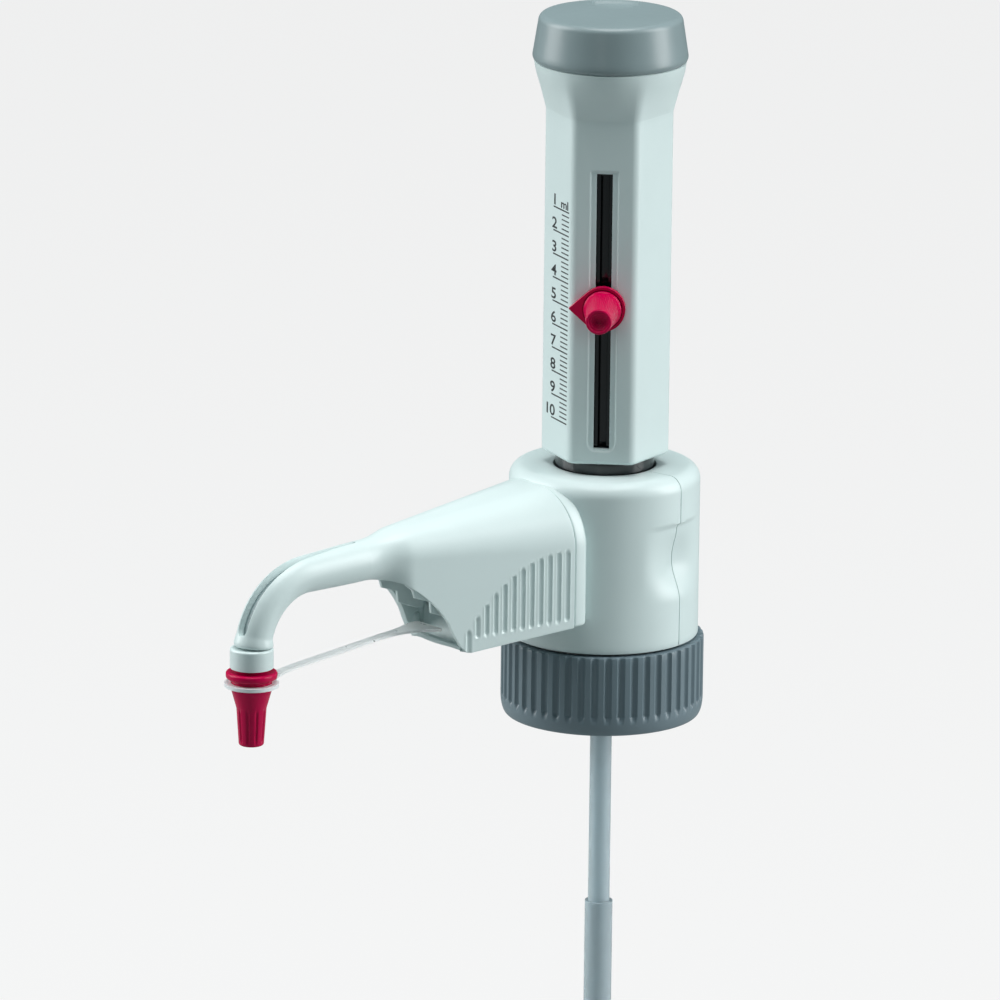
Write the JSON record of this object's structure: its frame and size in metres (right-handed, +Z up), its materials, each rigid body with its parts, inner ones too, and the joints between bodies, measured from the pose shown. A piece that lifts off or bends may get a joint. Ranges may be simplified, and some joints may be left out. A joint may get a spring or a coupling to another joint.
{
  "type": "bottle-top dispenser",
  "caption": "Piston dispenser that screws on a bottle: lifting housing with a volume knob and scale, valve block, curved spout with a strapped safety cap, and a telescoping filling tube.",
  "frame": {"origin": "centre of the mounting ring's lower mouth, on the neck thread's axis", "axes": "+Z up along the piston and neck axis; the spout points along -X; the slot and knob face 225 degrees from +X"},
  "size_m": [0.1613, 0.056, 0.3922],
  "materials": {
    "shell": "fine satin, cool white",
    "ring_grey": "satin blue-grey",
    "cap_grey": "satin mid grey",
    "crimson": "smooth, slightly translucent crimson",
    "black": "gloss black",
    "glass": "clear, polished",
    "fluoropolymer": "milky white, waxy",
    "tubing": "translucent, milky",
    "strap": "translucent white",
    "seal_rubber": "matt black",
    "ball": "polished",
    "metal": "turned"
  },
  "bodies": {
    "ring": {"mounting_ring": "ring_grey"},
    "block": {"seal_flange": "shell", "neck_gasket": "fluoropolymer", "valve_block_core": "fluoropolymer", "front_shell": "shell", "rear_shell": "shell", "dosing_cylinder": "glass", "cylinder_seal": "fluoropolymer", "guide_sleeve": "black", "guide_ring": "black", "filling_valve_body": "fluoropolymer", "filling_valve_seal": "seal_rubber", "filling_tube_upper": "tubing", "discharge_housing": "shell", "nozzle_ferrule": "shell", "discharge_valve_body": "fluoropolymer", "discharge_spring": "metal", "discharge_tube": "tubing", "strap_anchor": "shell", "cap_strap": "strap"},
    "filling_ball": {"filling_ball": "ball"},
    "discharge_ball": {"discharge_ball": "ball"},
    "lower_tube": {"filling_tube_lower": "tubing"},
    "vent_cap": {"air_vent_cap": "shell"},
    "piston": {"piston_rod": "shell", "piston_head": "fluoropolymer", "piston_seal": "fluoropolymer", "rod_nut": "cap_grey", "piston_housing": "shell", "scale_track": "black"},
    "calibration": {"calibration_wheel": "crimson"},
    "cover": {"top_cap": "cap_grey"},
    "pointer": {"pointer_plate": "crimson", "clamp_shoe": "black"},
    "knob": {"volume_knob": "crimson", "knob_screw": "metal"},
    "strap_end": {"strap_ring": "strap"},
    "safety_cap": {"safety_cap": "crimson"}
  },
  "joints": [
    {"name": "block_turn", "type": "hinge", "parent": "ring", "child": "block", "pos_m": [0, 0, 0], "axis": [0, 0, 1], "continuous": true},
    {"name": "piston_lift", "type": "slide", "parent": "block", "child": "piston", "axis": [0, 0, 1], "range_m": [0, 0.066]},
    {"name": "volume_slide", "type": "slide", "parent": "piston", "child": "pointer", "axis": [0, 0, 1], "range_m": [-0.033, 0.0264]},
    {"name": "knob_turn", "type": "hinge", "parent": "pointer", "child": "knob", "pos_m": [-0.01181, -0.01181, 0.1183], "axis": [-0.7071, -0.7071, 0], "range_deg": [0, 180]},
    {"name": "calibration_turn", "type": "hinge", "parent": "piston", "child": "calibration", "pos_m": [0, 0, 0.18], "axis": [0, 0, 1], "range_deg": [-180, 180]},
    {"name": "cover_pull", "type": "slide", "parent": "piston", "child": "cover", "axis": [0, 0, 1], "range_m": [0, 0.012]},
    {"name": "filling_ball_lift", "type": "slide", "parent": "block", "child": "filling_ball", "axis": [0, 0, 1], "range_m": [0, 0.0015]},
    {"name": "discharge_ball_open", "type": "slide", "parent": "block", "child": "discharge_ball", "axis": [-1, 0, 0], "range_m": [0, 0.0012], "stiffness_N_per_m": 40, "springref_m": -0.001, "deforming": ["discharge_spring"]},
    {"name": "tube_telescope", "type": "slide", "parent": "block", "child": "lower_tube", "axis": [0, 0, -1], "range_m": [-0.06, 0.06]},
    {"name": "vent_cap_pull", "type": "slide", "parent": "block", "child": "vent_cap", "axis": [1, 0, 0], "range_m": [0, 0.01]},
    {"name": "cap_pull", "type": "slide", "parent": "block", "child": "strap_end", "axis": [0, 0, -1], "range_m": [0, 0.02], "deforming": ["cap_strap"]},
    {"name": "cap_twist", "type": "hinge", "parent": "strap_end", "child": "safety_cap", "pos_m": [-0.1248, 0, 0.0328], "axis": [0, 0, 1], "continuous": true}
  ]
}
